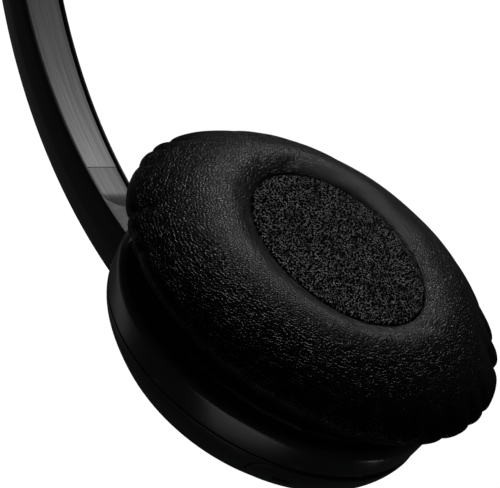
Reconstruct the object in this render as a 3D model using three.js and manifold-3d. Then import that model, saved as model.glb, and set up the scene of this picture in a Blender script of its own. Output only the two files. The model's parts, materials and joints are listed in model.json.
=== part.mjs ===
// On-ear office headset: a spring-steel headband, two sliding arms, two folding cups and a boom microphone.
// Millimetres. +Z up, +Y forward, X from ear to ear. The origin is on the underside of the crown pad.
// The two sides are the same shape turned half a turn about Z; only the cups' controls differ.
import * as THREE from 'three';
import { mergeVertices } from 'three/addons/utils/BufferGeometryUtils.js';
import Module from 'manifold-3d';

const wasm = await Module();
wasm.setup();

// ---------------------------------------------------------------- driving dimensions
const DEG = Math.PI / 180;
const GAP = 0.3; // clearance between neighbouring pieces

// Headband arcs: each arm lies on an arc of ARM_R, and a tighter crown arc joins them.
const ARM_R = 93.4; // radius of the inner face of an arm
const ARM_AXIS_X = 10.1; // the left arm's arc centre lies this far past the middle plane
const JUNCTION = 35 * DEG; // angle at which arm arc and crown arc meet
const PAD_DEPTH = 7.5; // crown pad and its base, from the origin up to the band
const CROWN_DROP = ARM_AXIS_X / Math.cos(JUNCTION); // ARM_R less the crown arc's radius
const CROWN_R = ARM_R - CROWN_DROP;
const CROWN_Z = PAD_DEPTH - CROWN_R; // height of the crown arc's centre
const ARM_AXIS_Z = CROWN_Z - CROWN_DROP * Math.sin(JUNCTION);

// Arm section, given at the angle TAPER_FROM and tapering upwards.
const TAPER_FROM = -0.3;
const ARM_WIDTH = 7.6;
const ARM_WIDTH_TAPER = 0.265; // share gained for each radian
const ARM_DEPTH = 8.7;
const ARM_DEPTH_TAPER = -0.358;
const CHAMFER_AT = 0.61; // share of the depth at which the outer chamfer starts
const CHAMFER_WIDTH = 0.88; // width of the outer face, as a share of the arm's
const ARM_FOOT = -0.17; // lower end of the arm, where the yoke starts
const ARM_HEAD = 34 * DEG; // upper end of the arm
const LIP = 0.5; // wall left beside the steel in the arm's pocket
const POCKET_FOOT = -0.085; // rounded lower end of the pocket
const POCKET_DEPTH = 2.4;
const GROOVE_WIDTH = 3.4; // guide groove in the pocket's floor
const GROOVE_DEPTH = 4.6;
const GROOVE_FOOT = -0.05;

// Steel band and crown
const STEEL = 0.8;
const STEEL_SUNK = 0.35; // the band lies this far below the pocket's lips
const INLAY = 0.7; // the fixed lower strip
const INLAY_SUNK = 0.65;
const BAND_END = 0.012; // lower end of the band at its shortest setting
const CROWN_WIDTH = 17;
const CROWN_DEPTH = 4.6;
const BAND_CROWN_WIDTH = 12.5;
const PAD_FROM = 52 * DEG;
const PAD_WIDTH = 18;
const PAD_BASE = 1.3; // thickness of the plate that carries the pad
const PAD_BASE_WIDTH = 12.8;
const CROWN_SCREW_ANGLES = [66, 114].map((a) => a * DEG);

// Cups: centre plane of the cushion's back, tilted so that the cushion looks slightly upwards.
const CUP_X = 60;
const CUP_Z = ARM_AXIS_Z - 46.6;
const CUP_TILT = 0.115;
const BOWL_CIRCLE = 15; // the bowl is a rounded tube round this circle
const BOWL_TUBE = 14.3;
const BOWL_N = -6.2;
const BOWL_BACK = BOWL_N - BOWL_TUBE; // the flat back
const WALL = 1.7;
const SPLIT_N = -9.7; // bowl meets the front frame
const FRAME_FRONT = -3.7;
const FRAME_R = 30.1;
const FRAME_STRETCH = 0.035; // the frame is this much wider than round, and as much shorter
const BAFFLE_R = 25.4;
const BAFFLE_BACK = -7.0;
const BAFFLE_FRONT = -5.4;
const DRIVER_R = 18;
const CUSHION_R = 35;
const CUSHION_BACK = -1.4;
const CUSHION_FRONT = 13.9;
const PATCH_R = 16.9; // fabric over the cushion's opening
const PATCH_NARROW = 0.911; // its width for each unit of height
const CUSHION_NARROW = 0.985;
const BOSS_R = 21.4;
const BOSS_ANGLES = [20, 160].map((a) => a * DEG);

// Yoke and hinges
const PLATE_IN = -23.3; // inner face of the yoke's plate, behind the bowl
const PLATE_OUT = -26.8;
const PLATE_HALF = 4.9;
const HUB_IN = -24.7; // the oval hub covers the lugs from here outwards
const TILT_N = -21.6; // tilt pin, across the cup's back
const PIN_R = 1.25;
const PIN_LENGTH = 17.4;
const SWIVEL_BORE_R = 1.6;
const SWIVEL_IN_ARM = 5.8; // length of the swivel pin in the arm's foot
const SWIVEL_IN_YOKE = 7;
const LUG_R = 2.7;
const LUG_AT = 7.1; // middle of each lug, to either side of the yoke's plate
const LUG_HALF = 1.6;
const HUB_HALF_WIDTH = 10.2;
const HUB_HALF_HEIGHT = 6.1;
const EYE_R = 2.9;

// Controls on the lower rim of a cup, and the boom
const BAR_LENGTH = 37;
const BAR_HEIGHT = 6.4;
const BAR_ANGLE = 28.4 * DEG; // round the bowl's tube, from its widest circle
const BUTTON_R = 4.2;
const BUTTON_U = -11;
const HUB_U = -14.8;
const HUB_R = 7;
const SHAFT_R = 2.5;
const BOOM_R = 1.5;
const MUTE_R = 3;

// ---------------------------------------------------------------- materials
const finish = (color, roughness, metalness) =>
  new THREE.MeshStandardMaterial({ color, roughness, metalness });
const shellBlack = finish(0x141416, 0.42, 0);
const innerBlack = finish(0x1b1b1d, 0.6, 0);
const steel = finish(0x8d8f92, 0.36, 1);
const bright = finish(0xb5b7ba, 0.3, 1);
const leather = finish(0x101012, 0.5, 0);
const mesh = finish(0x1d1d1f, 0.9, 0);
const rubber = finish(0x161616, 0.8, 0);
const board = finish(0x1f4a2c, 0.5, 0);
const foil = finish(0x6d7076, 0.45, 0.6);
const nylon = finish(0xc9c6bd, 0.6, 0);

// ---------------------------------------------------------------- helpers
const clean = (geometry) => {
  const bare = geometry.clone();
  bare.deleteAttribute('normal');
  bare.deleteAttribute('uv');
  return mergeVertices(bare, 1e-4);
};

const solid = (geometry) => {
  const merged = clean(geometry);
  const vertProperties = new Float32Array(merged.attributes.position.array);
  const triVerts = new Uint32Array(merged.index.array);
  return new wasm.Manifold(new wasm.Mesh({ numProp: 3, vertProperties, triVerts }));
};

const surface = (manifold) => {
  const { vertProperties, triVerts } = manifold.getMesh();
  const geometry = new THREE.BufferGeometry();
  geometry.setAttribute('position', new THREE.BufferAttribute(new Float32Array(vertProperties), 3));
  geometry.setIndex(new THREE.BufferAttribute(new Uint32Array(triVerts), 1));
  geometry.computeVertexNormals();
  return geometry;
};

const cut = (geometry, ...tools) =>
  surface(tools.reduce((left, tool) => left.subtract(solid(tool)), solid(geometry)));
const join = (geometry, ...more) =>
  surface(more.reduce((all, other) => all.add(solid(other)), solid(geometry)));

const remap = (geometry, place) => {
  const p = geometry.attributes.position;
  for (let i = 0; i < p.count; i += 1) {
    const v = place(p.getX(i), p.getY(i), p.getZ(i));
    p.setXYZ(i, v.x, v.y, v.z);
  }
  geometry.computeVertexNormals();
  return geometry;
};

const volume = (geometry) => {
  const p = geometry.attributes.position;
  const corner = (i) => new THREE.Vector3().fromBufferAttribute(p, i);
  let sum = 0;
  for (let i = 0; i < p.count; i += 3) {
    sum += corner(i).dot(corner(i + 1).cross(corner(i + 2)));
  }
  return sum / 6;
};

const turnedInsideOut = (geometry) => {
  const p = geometry.attributes.position;
  for (let i = 0; i < p.count; i += 3) {
    const first = new THREE.Vector3().fromBufferAttribute(p, i);
    p.setXYZ(i, p.getX(i + 1), p.getY(i + 1), p.getZ(i + 1));
    p.setXYZ(i + 1, ...first);
  }
  geometry.computeVertexNormals();
  return geometry;
};

// A bar of one section, cut into steps and bent: place takes the section's two coordinates and 0 to 1
// along the bar. A place that mirrors the bar leaves it inside out, so its triangles are turned back.
const bentBar = (section, steps, place) => {
  const shape = new THREE.Shape(section.map(([a, b]) => new THREE.Vector2(a, b)));
  const bar = remap(new THREE.ExtrudeGeometry(shape, { depth: 1, steps, bevelEnabled: false }), place);
  return volume(bar) < 0 ? turnedInsideOut(bar) : bar;
};

// A solid turned about Z from points [radius, height].
const turned = (profile, segments = 28) => {
  const area = profile.reduce((sum, [r, z], i) => {
    const [r2, z2] = profile[(i + 1) % profile.length];
    return sum + r * z2 - r2 * z;
  }, 0);
  const ordered = area > 0 ? profile : [...profile].reverse();
  const closesOnAxis = profile[0][0] === 0;
  const points = ordered.map(([r, z]) => new THREE.Vector2(r, z));
  if (!closesOnAxis) points.push(points[0].clone());
  return new THREE.LatheGeometry(points, segments).rotateX(Math.PI / 2);
};

const disc = (radius, from, to, x = 0, y = 0, segments = 12) =>
  new THREE.CylinderGeometry(radius, radius, Math.abs(to - from), segments)
    .rotateX(Math.PI / 2)
    .translate(x, y, (from + to) / 2);

const block = (x0, x1, y0, y1, z0, z1) =>
  new THREE.BoxGeometry(x1 - x0, y1 - y0, z1 - z0)
    .translate((x0 + x1) / 2, (y0 + y1) / 2, (z0 + z1) / 2);

// A rod across the cup, along X.
const crossRod = (radius, length, height, segments = 12) =>
  new THREE.CylinderGeometry(radius, radius, length, segments)
    .rotateZ(Math.PI / 2)
    .translate(0, 0, height);

// Section of a plain strip: across, then deep.
const STRIP = [[-1, 0], [1, 0], [1, 1], [-1, 1]];

const arcPoints = (cx, cy, radius, from, to, count) =>
  Array.from({ length: count + 1 }, (_, i) => {
    const a = from + ((to - from) * i) / count;
    return [cx + radius * Math.cos(a), cy + radius * Math.sin(a)];
  });

const mix = (a, b, t) => a + (b - a) * t;
const ease = (t) => t * t * (3 - 2 * t);
const clamp01 = (t) => Math.min(1, Math.max(0, t));

const headset = new THREE.Group();

const piece = (parent, name, geometry, material) => {
  const made = new THREE.Mesh(geometry, material.clone());
  made.name = name;
  parent.add(made);
  return made;
};

// ---------------------------------------------------------------- the headband's curve
const armWidth = (angle) => ARM_WIDTH * (1 + ARM_WIDTH_TAPER * (angle - TAPER_FROM));
const armDepth = (angle) => ARM_DEPTH * (1 + ARM_DEPTH_TAPER * (angle - TAPER_FROM));
const crownShare = (angle) => ease(clamp01((angle - ARM_HEAD) / (Math.PI / 2 - ARM_HEAD)));
const bandWidth = (angle) => {
  const inArm = armWidth(Math.min(angle, ARM_HEAD)) - 2 * (LIP + GAP);
  return angle < ARM_HEAD ? inArm : mix(inArm, BAND_CROWN_WIDTH, crownShare(angle));
};

// A point of the left half in the arm's own polar frame, about the arm arc's centre.
const armPoint = (angle, depth, y) =>
  new THREE.Vector3(-(ARM_R + depth) * Math.cos(angle), y, (ARM_R + depth) * Math.sin(angle));

// A point of the whole arch in the row frame: angle runs from the left arm over the crown to the right one.
const archPoint = (angle, depth, y) => {
  const near = Math.min(angle, Math.PI - angle);
  const side = angle > Math.PI / 2 ? -1 : 1;
  const onArm = near < JUNCTION;
  const radius = (onArm ? ARM_R : CROWN_R) + depth;
  const x = (onArm ? ARM_AXIS_X : 0) - radius * Math.cos(near);
  const z = (onArm ? ARM_AXIS_Z : CROWN_Z) + radius * Math.sin(near);
  return new THREE.Vector3(side * x, y, z);
};

const fromCrown = (angle) => Math.min(angle, Math.PI - angle);

// ---------------------------------------------------------------- headband
const springBand = () => {
  const along = (t) => mix(BAND_END, Math.PI - BAND_END, t);
  const strip = bentBar(STRIP, 32, (a, b, t) => {
    const angle = along(t);
    return archPoint(angle, STEEL_SUNK + b * STEEL, (a * bandWidth(fromCrown(angle))) / 2);
  });
  return cut(strip, ...CROWN_SCREW_ANGLES.map((a) => archPin(a, 1.5, -2, 4)));
};

const turnFromY = (direction) =>
  new THREE.Quaternion().setFromUnitVectors(new THREE.Vector3(0, 1, 0), direction);

// A pin standing square on the arch at an angle, from one depth to another.
const archPin = (angle, radius, from, to, segments = 10) => {
  const foot = archPoint(angle, from, 0);
  const outwards = archPoint(angle, to, 0).sub(foot);
  const pin = new THREE.CylinderGeometry(radius, radius, outwards.length(), segments);
  pin.applyQuaternion(turnFromY(outwards.clone().normalize()));
  return pin.translate(...foot.addScaledVector(outwards, 0.5));
};

const crownCover = () => {
  const outer = [[-1, 0], [1, 0], [1, 0.5], [0.74, 1], [-0.74, 1], [-1, 0.5]];
  const from = ARM_HEAD + GAP / ARM_R;
  const along = (t) => mix(from, Math.PI - from, t);
  const width = (angle) => mix(armWidth(ARM_HEAD), CROWN_WIDTH, crownShare(angle));
  const depth = (angle) => mix(armDepth(ARM_HEAD), CROWN_DEPTH, crownShare(angle));
  const shell = bentBar(outer, 16, (a, b, t) => {
    const near = fromCrown(along(t));
    return archPoint(along(t), b * depth(near), (a * width(near)) / 2);
  });
  const slot = bentBar(STRIP, 16, (a, b, t) => {
    const angle = mix(from - 0.02, Math.PI - from + 0.02, t);
    const half = bandWidth(fromCrown(angle)) / 2 + GAP;
    return archPoint(angle, mix(-2, STEEL_SUNK + STEEL + GAP, b), a * half);
  });
  return cut(shell, slot, ...CROWN_SCREW_ANGLES.map((a) => archPin(a, 1.3, 1, 3.2)));
};

const padBase = () => {
  const base = bentBar(STRIP, 14, (a, b, t) => {
    const angle = mix(PAD_FROM, Math.PI - PAD_FROM, t);
    return archPoint(angle, -GAP - b * PAD_BASE, (a * PAD_BASE_WIDTH) / 2);
  });
  return cut(base, ...CROWN_SCREW_ANGLES.map((a) => archPin(a, 1.5, -4, 2)));
};

const crownPad = () => {
  const section = arcPoints(0, 0.42, 1, 0, 2 * Math.PI, 10).slice(0, -1)
    .map(([a, b]) => [a, Math.max(0, Math.min(1, 0.5 + (b - 0.42) * 0.62))]);
  return bentBar(section, 14, (a, b, t) => {
    const angle = mix(PAD_FROM - 0.03, Math.PI - PAD_FROM + 0.03, t);
    const end = Math.sqrt(Math.max(0.06, 1 - (2 * t - 1) ** 8));
    const top = -2 * GAP - PAD_BASE;
    const half = (PAD_WIDTH / 2) * mix(0.8, 1, end);
    return archPoint(angle, mix(top, -PAD_DEPTH, b * mix(0.55, 1, end)), a * half);
  });
};

const crownScrew = (angle) =>
  join(archPin(angle, 0.95, -1.5, 2.7, 8), archPin(angle, 1.2, -1.55, -0.6, 8));

// A strip of one width that follows the arm's arc.
const plainBar = (halfWidth, depthFrom, depthTo, angleFrom, angleTo, steps) =>
  bentBar(STRIP, steps, (a, b, t) =>
    armPoint(mix(angleFrom, angleTo, t), mix(depthFrom, depthTo, b), a * halfWidth));

const slideShoe = () => {
  const top = STEEL_SUNK + STEEL + GAP;
  const slab = plainBar(2.9, top, POCKET_DEPTH - GAP, BAND_END + 0.005, 0.24, 5);
  const keel = plainBar(GROOVE_WIDTH / 2 - GAP, POCKET_DEPTH - 2 * GAP, 3.4, BAND_END + 0.02, 0.22, 4);
  return join(slab, keel);
};

// A leaf with one raised hump, pressed against the floor of the arm's groove.
const detentSpring = () => bentBar(STRIP, 6, (a, b, t) => {
  const rise = Math.exp(-(((t - 0.5) / 0.16) ** 2)) * 0.45;
  return armPoint(mix(0.09, 0.2, t), 3.7 + rise + b * 0.16, a * 1.1);
});

// ---------------------------------------------------------------- arm
const armSection = [
  [-1, 0], [1, 0], [1, CHAMFER_AT], [CHAMFER_WIDTH, 1], [-CHAMFER_WIDTH, 1], [-1, CHAMFER_AT],
];

const pocketEnd = (angle) => {
  const into = (angle - POCKET_FOOT) * ARM_R; // distance above the pocket's lower end
  const half = armWidth(angle) / 2 - LIP;
  return into >= half ? half : Math.sqrt(Math.max(0.02, half * half - (half - into) ** 2));
};

const armShell = () => {
  const body = bentBar(armSection, 10, (a, b, t) => {
    const angle = mix(ARM_FOOT, ARM_HEAD, t);
    return armPoint(angle, b * armDepth(angle), (a * armWidth(angle)) / 2);
  });
  const pocket = bentBar(STRIP, 14, (a, b, t) => {
    const angle = mix(POCKET_FOOT, ARM_HEAD + 0.02, t ** 1.7);
    return armPoint(angle, mix(-1, POCKET_DEPTH, b), a * pocketEnd(angle));
  });
  const groove = plainBar(
    GROOVE_WIDTH / 2,
    POCKET_DEPTH - 0.5,
    GROOVE_DEPTH,
    GROOVE_FOOT,
    ARM_HEAD + 0.02,
    8,
  );
  return cut(body, pocket, groove, swivelRod(SWIVEL_BORE_R, -0.5, SWIVEL_IN_ARM + 0.4));
};

// The fixed lower strip, under the band's end and down to the rounded end of the pocket.
const armInlay = () => {
  const from = POCKET_FOOT + GAP / ARM_R;
  return bentBar(STRIP, 8, (a, b, t) => {
    const angle = mix(from, BAND_END - GAP / ARM_R, t ** 1.5);
    const half = Math.max(0.4, pocketEnd(angle - GAP / ARM_R) - GAP);
    return armPoint(angle, mix(INLAY_SUNK, INLAY_SUNK + INLAY, b), a * half);
  });
};

// The swivel's axis: along the arm at its foot, in the arm's polar frame.
const swivelCentre = armPoint(ARM_FOOT, armDepth(ARM_FOOT) * 0.48, 0);
const swivelUp = new THREE.Vector3(Math.sin(ARM_FOOT), 0, Math.cos(ARM_FOOT));

const swivelRod = (radius, from, to, segments = 12) => {
  const rod = new THREE.CylinderGeometry(radius, radius, to - from, segments);
  rod.applyQuaternion(turnFromY(swivelUp));
  return rod.translate(...swivelCentre.clone().addScaledVector(swivelUp, (from + to) / 2));
};

// ---------------------------------------------------------------- cup frame
// In the cup's frame X runs along the row's Y, Y up the cup and Z from the cup's back to the ear.
const cupMatrix = () => {
  const up = new THREE.Vector3(-Math.sin(CUP_TILT), 0, Math.cos(CUP_TILT));
  const ear = new THREE.Vector3(Math.cos(CUP_TILT), 0, Math.sin(CUP_TILT));
  return new THREE.Matrix4().makeBasis(new THREE.Vector3(0, 1, 0), up, ear).setPosition(-CUP_X, 0, CUP_Z);
};

const armToCup = () =>
  cupMatrix().invert().multiply(new THREE.Matrix4().makeTranslation(ARM_AXIS_X, 0, ARM_AXIS_Z));

// ---------------------------------------------------------------- yoke
const yoke = () => {
  const toCup = armToCup();
  const footAngle = ARM_FOOT - GAP / ARM_R;
  const inner = armPoint(footAngle, 0, 0).applyMatrix4(toCup);
  const outer = armPoint(footAngle, armDepth(ARM_FOOT), 0).applyMatrix4(toCup);
  const halfTop = armWidth(ARM_FOOT) / 2;
  // stations down the yoke: inner face, outer face (height up the cup, depth) and half width
  const stations = [
    { inner: [inner.y, inner.z], outer: [outer.y, outer.z], half: halfTop },
    { inner: [29.3, -18.9], outer: [27.6, -27.2], half: halfTop },
    { inner: [25, -20.9], outer: [24, -27.5], half: halfTop + 0.1 },
    { inner: [20.5, -22.9], outer: [20, -27.4], half: halfTop + 0.3 },
    { inner: [15, PLATE_IN], outer: [15, -27.1], half: PLATE_HALF - 0.3 },
    { inner: [6, PLATE_IN], outer: [6, PLATE_OUT], half: PLATE_HALF },
    { inner: [0, PLATE_IN], outer: [0, PLATE_OUT], half: PLATE_HALF },
    { inner: [-2.4, PLATE_IN], outer: [-2.4, PLATE_OUT], half: PLATE_HALF * 0.88 },
    { inner: [-4.2, PLATE_IN], outer: [-4.2, PLATE_OUT + 0.2], half: PLATE_HALF * 0.56 },
    { inner: [-4.9, PLATE_IN], outer: [-4.9, PLATE_OUT + 0.5], half: PLATE_HALF * 0.2 },
  ];
  const arm = bentBar(armSection, stations.length - 1, (a, b, t) => {
    const s = stations[Math.round(t * (stations.length - 1))];
    return new THREE.Vector3(a * s.half, mix(s.inner[0], s.outer[0], b), mix(s.inner[1], s.outer[1], b));
  });
  const hub = remap(disc(1, PLATE_OUT - 0.2, HUB_IN, 0, 0, 24), (x, y, z) =>
    new THREE.Vector3(x * HUB_HALF_WIDTH, y * HUB_HALF_HEIGHT, z));
  const eye = crossRod(EYE_R, 2 * PLATE_HALF - 0.6, TILT_N, 16);
  const socket = swivelRod(SWIVEL_BORE_R, -SWIVEL_IN_YOKE - 0.4, 0.5).applyMatrix4(toCup);
  const pinHole = crossRod(PIN_R + GAP, 14, TILT_N);
  return cut(join(arm, hub, eye), socket, pinHole);
};

const swivelPin = () => swivelRod(PIN_R, -SWIVEL_IN_YOKE, SWIVEL_IN_ARM).applyMatrix4(armToCup());

const tiltPin = () => crossRod(PIN_R, PIN_LENGTH, TILT_N);

// ---------------------------------------------------------------- cup shells
const oval = (geometry, stretch) => remap(geometry, (x, y, z) =>
  new THREE.Vector3(x * (1 + stretch), y * (1 - stretch), z));

// A point of the bowl: angle round the cup from its lowest point, angle round the tube, and height over
// the surface.
const bowlPoint = (round, tube, height) => {
  const r = BOWL_CIRCLE + (BOWL_TUBE + height) * Math.cos(tube);
  const n = BOWL_N - (BOWL_TUBE + height) * Math.sin(tube);
  return new THREE.Vector3(r * Math.sin(round), -r * Math.cos(round), n);
};

// A stadium-shaped patch that follows the bowl's lower rim, from one height over the surface to another.
const barPatch = (grow, low, high, steps = 12) => {
  const halfLength = BAR_LENGTH / 2 + grow;
  const halfHeight = BAR_HEIGHT / 2 + grow;
  const rim = BOWL_CIRCLE + BOWL_TUBE * Math.cos(BAR_ANGLE);
  return bentBar(STRIP, steps, (a, b, t) => {
    const s = -Math.cos(t * Math.PI) * halfLength;
    const past = Math.abs(s) - (halfLength - halfHeight);
    const rounded = Math.sqrt(Math.max(0.02, halfHeight ** 2 - past ** 2));
    const reach = past > 0 ? rounded : halfHeight;
    return bowlPoint(s / rim, BAR_ANGLE + (a * reach) / BOWL_TUBE, mix(low, high, b));
  });
};

const bowlProfile = (tube) =>
  arcPoints(BOWL_CIRCLE, BOWL_N, tube, -Math.PI / 2, Math.asin((SPLIT_N - BOWL_N) / tube), 4);

// The same small round thing at each boss of the cup.
const atBosses = (radius, from, to, segments = 8) =>
  BOSS_ANGLES.map((a) => disc(radius, from, to, BOSS_R * Math.cos(a), BOSS_R * Math.sin(a), segments));

const backShell = (side) => {
  const outer = bowlProfile(BOWL_TUBE);
  const inner = bowlProfile(BOWL_TUBE - WALL);
  const shell = turned([[0, BOWL_BACK], ...outer, ...inner.reverse(), [0, BOWL_BACK + WALL]], 26);
  const bosses = atBosses(2.3, -17.5, BAFFLE_BACK - 0.4);
  const bores = atBosses(1.15, -14, BAFFLE_BACK + 1);
  // The hinge's well is sunk into the back, and its walls stand on inside.
  const [wellX, wellY, wellFloor] = [9.9, 6.3, -17.9];
  const wall = 1.3;
  const boxed = block(-wellX - wall, wellX + wall, -wellY - wall, wellY + wall, BOWL_BACK + 0.2, -16.4);
  const well = block(-wellX, wellX, -wellY, wellY, -30, wellFloor);
  const lugs = [-1, 1].map((s) => {
    const at = s * LUG_AT;
    const eye = disc(LUG_R, -LUG_HALF, LUG_HALF, 0, 0, 10).rotateY(Math.PI / 2);
    const foot = block(-LUG_HALF, LUG_HALF, -LUG_R, LUG_R, 0, wellFloor + 0.5 - TILT_N);
    return join(eye, foot).translate(at, 0, TILT_N);
  });
  const pinHole = crossRod(PIN_R + GAP, PIN_LENGTH + 1.2, TILT_N);
  const ownHole = side === 'left'
    ? disc(BUTTON_R + GAP, -25, -17, 0, BUTTON_U, 20)
    : disc(SHAFT_R + 0.4, -25, -17, 0, HUB_U, 16);
  const hinged = join(cut(join(shell, ...bosses, boxed), well), ...lugs);
  return cut(hinged, ...bores, pinHole, barPatch(GAP, -4, 3), ownHole);
};

const frontFrame = () => {
  const ring = [
    [FRAME_R - 1, SPLIT_N + GAP],
    [FRAME_R - 0.4, -6.6],
    [FRAME_R, -4.7],
    [FRAME_R - 0.8, FRAME_FRONT],
    [23.7, FRAME_FRONT],
    [23.7, BAFFLE_FRONT + GAP],
    [26.6, BAFFLE_FRONT + GAP],
    [26.6, SPLIT_N + GAP],
  ];
  return oval(turned(ring, 28), FRAME_STRETCH);
};

const baffle = () => {
  const plate = turned([
    [DRIVER_R + GAP, BAFFLE_BACK],
    [BAFFLE_R, BAFFLE_BACK],
    [BAFFLE_R, BAFFLE_FRONT],
    [DRIVER_R + GAP, BAFFLE_FRONT],
  ], 20);
  return cut(plate, ...atBosses(1.2, -9, -3));
};

const driverFrame = () => turned([
  [10.2, -12],
  [13.5, -12],
  [15.5, -8.5],
  [DRIVER_R, -7.2],
  [DRIVER_R, -5.2],
  [16.9, -5.2],
  [14.6, -7.8],
  [10.2, -11],
], 20);

const driverMagnet = () => turned([
  [0, -12.9],
  [9.5, -12.9],
  [9.9, -12.5],
  [9.9, -9.2],
  [0, -9.2],
], 16);

const diaphragm = () => turned([
  [0, -6.2],
  [4.5, -6.6],
  [8, -8.1],
  [12, -6.4],
  [15.6, -6.1],
  [15.6, -5.7],
  [12, -6.0],
  [8, -7.6],
  [4.5, -6.2],
  [0, -5.8],
], 16);

const speakerGuard = () => {
  const plate = turned([[0, -4.9], [17.6, -4.9], [17.6, -4.2], [0, -3.6]], 20);
  const [count, ring, hole] = [5, 9.5, 2.6];
  const holes = Array.from({ length: count }, (_, i) => {
    const a = (i * 2 * Math.PI) / count;
    return disc(hole, -7, -2, ring * Math.cos(a), ring * Math.sin(a), 6);
  });
  return cut(plate, ...holes);
};

const shellScrew = (index) =>
  join(
    atBosses(0.85, -12.5, BAFFLE_FRONT + 0.5)[index],
    atBosses(1.8, BAFFLE_FRONT + 0.15, -4.2, 10)[index],
  );

// ---------------------------------------------------------------- cushion
const cushionRing = () => turned([
  [21.5, -3.3],
  [27.2, -3.3],
  [27.2, -2.6],
  [25.8, -1.8],
  [21.5, -1.8],
], 24);

// Round to oval: the opening is narrower than the outline.
const cushionOval = (geometry) => remap(geometry, (x, y, z) => {
  const share = clamp01((Math.hypot(x, y) - PATCH_R) / (CUSHION_R - PATCH_R));
  return new THREE.Vector3(x * mix(PATCH_NARROW, CUSHION_NARROW, share), y, z);
});

const earCushion = () => cushionOval(turned([
  [18.2, CUSHION_BACK],
  [26.6, CUSHION_BACK],
  [30.6, 1],
  [33.6, 3],
  [CUSHION_R, 4.9],
  [34.1, 6.4],
  [31.6, 8.5],
  [28.2, 11],
  [24.6, 13],
  [21.2, CUSHION_FRONT],
  [19, CUSHION_FRONT],
  [17.3, 13],
  [17.3, 10.8],
], 26));

const cushionMesh = () => cushionOval(turned([
  [0, 12.2],
  [PATCH_R - 0.5, 11.8],
  [PATCH_R, 12.2],
  [PATCH_R - 0.5, 12.8],
  [0, 13.5],
], 24));

const earFoam = () => cushionOval(turned([[0, 1], [16.8, 1], [16.8, 10.6], [0, 11.5]], 18));

// ---------------------------------------------------------------- cup contents
const mainBoard = () => {
  const sheet = block(-14, 14, -7, 15.5, -15.4, -14.3);
  const chips = [[-11, -4, -5, 2], [0, 9, 4, 12], [2, 6, -4, -1]];
  return join(sheet, ...chips.map(([x0, x1, y0, y1]) => block(x0, x1, y0, y1, -14.5, -13.4)));
};

const battery = () => {
  const shape = new THREE.Shape();
  shape.absarc(-12, 0, 1.35, Math.PI / 2, (3 * Math.PI) / 2, false);
  shape.absarc(12, 0, 1.35, -Math.PI / 2, Math.PI / 2, false);
  const cell = new THREE.ExtrudeGeometry(shape, { depth: 20, bevelEnabled: false, curveSegments: 6 });
  return cell.rotateX(Math.PI / 2).translate(0, 12, -14.7);
};

const volumeRocker = () => {
  const cap = barPatch(0, -1.2, 0.35);
  const heel = block(-2, 2, -27.4, -24.5, -14.6, -10.6);
  return join(cap, heel);
};

// Turns a solid standing on +Z so that it stands square on the bowl's lower rim, at a place along the bar.
const onRim = (geometry, along) => {
  const rim = BOWL_CIRCLE + BOWL_TUBE * Math.cos(BAR_ANGLE);
  const round = along / rim;
  const out = bowlPoint(round, BAR_ANGLE, 1).sub(bowlPoint(round, BAR_ANGLE, 0));
  const side = new THREE.Vector3(Math.cos(round), Math.sin(round), 0);
  const frame = new THREE.Matrix4().makeBasis(side, out.clone().cross(side), out);
  return geometry.applyMatrix4(frame.setPosition(bowlPoint(round, BAR_ANGLE, 0)));
};

const stadium = (halfLength, radius, from, to) => {
  const shape = new THREE.Shape();
  shape.absarc(halfLength - radius, 0, radius, -Math.PI / 2, Math.PI / 2, false);
  shape.absarc(radius - halfLength, 0, radius, Math.PI / 2, (3 * Math.PI) / 2, false);
  const options = { depth: to - from, bevelEnabled: false, curveSegments: 6 };
  return new THREE.ExtrudeGeometry(shape, options).translate(0, 0, from);
};

const portBezel = () => cut(
  barPatch(0, -1.5, 0.3),
  onRim(stadium(4.9, 2.0, -4, 3), 0),
  onRim(stadium(3.4, 1.3, -4, 3), 11.5),
);

const chargeSocket = () => onRim(join(
  cut(stadium(4.5, 1.6, -6.5, -0.2), stadium(4.1, 1.25, -6, 1)),
  block(-3.3, 3.3, -0.35, 0.35, -6.2, -1.2),
), 0);

const powerSwitch = () => onRim(
  join(stadium(1.6, 1, -2.6, 0.7), block(-1.3, 1.3, -0.9, 0.9, -3.6, -2.4)),
  10.4,
);

const callButton = () => turned([
  [0, BOWL_BACK - 0.6],
  [BUTTON_R - 0.7, BOWL_BACK - 0.6],
  [BUTTON_R, BOWL_BACK - 0.2],
  [BUTTON_R, -17.6],
  [0, -17.6],
], 18).translate(0, BUTTON_U, 0);

// ---------------------------------------------------------------- boom microphone
const boomHub = () => {
  const dish = turned([
    [0, BOWL_BACK - GAP],
    [HUB_R - 0.4, BOWL_BACK - GAP],
    [HUB_R, -21.4],
    [HUB_R, -24.6],
    [HUB_R - 0.9, -25.6],
    [0, -25.6],
  ], 20).translate(0, HUB_U, 0);
  const shaft = disc(SHAFT_R, -21, -16.2, 0, HUB_U, 14);
  const clip = disc(SHAFT_R + 0.9, -17.4, -16.2, 0, HUB_U, 14);
  const buttonWell = disc(MUTE_R + GAP, -27, -23.2, 0, HUB_U, 14);
  const tubeMouth = block(-9, -2.4, HUB_U - 6, HUB_U + 0.6, -24.95, -21.3);
  return cut(join(dish, shaft, clip), buttonWell, tubeMouth);
};

const BOOM_ROUTE = [
  [-3.6, -17.1, -23.1],
  [-14, -23.6, -23.2],
  [-34, -34.5, -23.4],
  [-58, -47, -21],
  [-82, -59.5, -13.5],
  [-101, -69.5, -3],
  [-112, -75.5, 5.5],
].map((p) => new THREE.Vector3(...p));

const boomTube = () => {
  const circle = arcPoints(0, 0, BOOM_R, 0, 2 * Math.PI, 8).slice(0, -1);
  const section = new THREE.Shape(circle.map(([a, b]) => new THREE.Vector2(a, b)));
  const path = new THREE.CatmullRomCurve3(BOOM_ROUTE);
  return new THREE.ExtrudeGeometry(section, { steps: 20, extrudePath: path, bevelEnabled: false });
};

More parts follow.
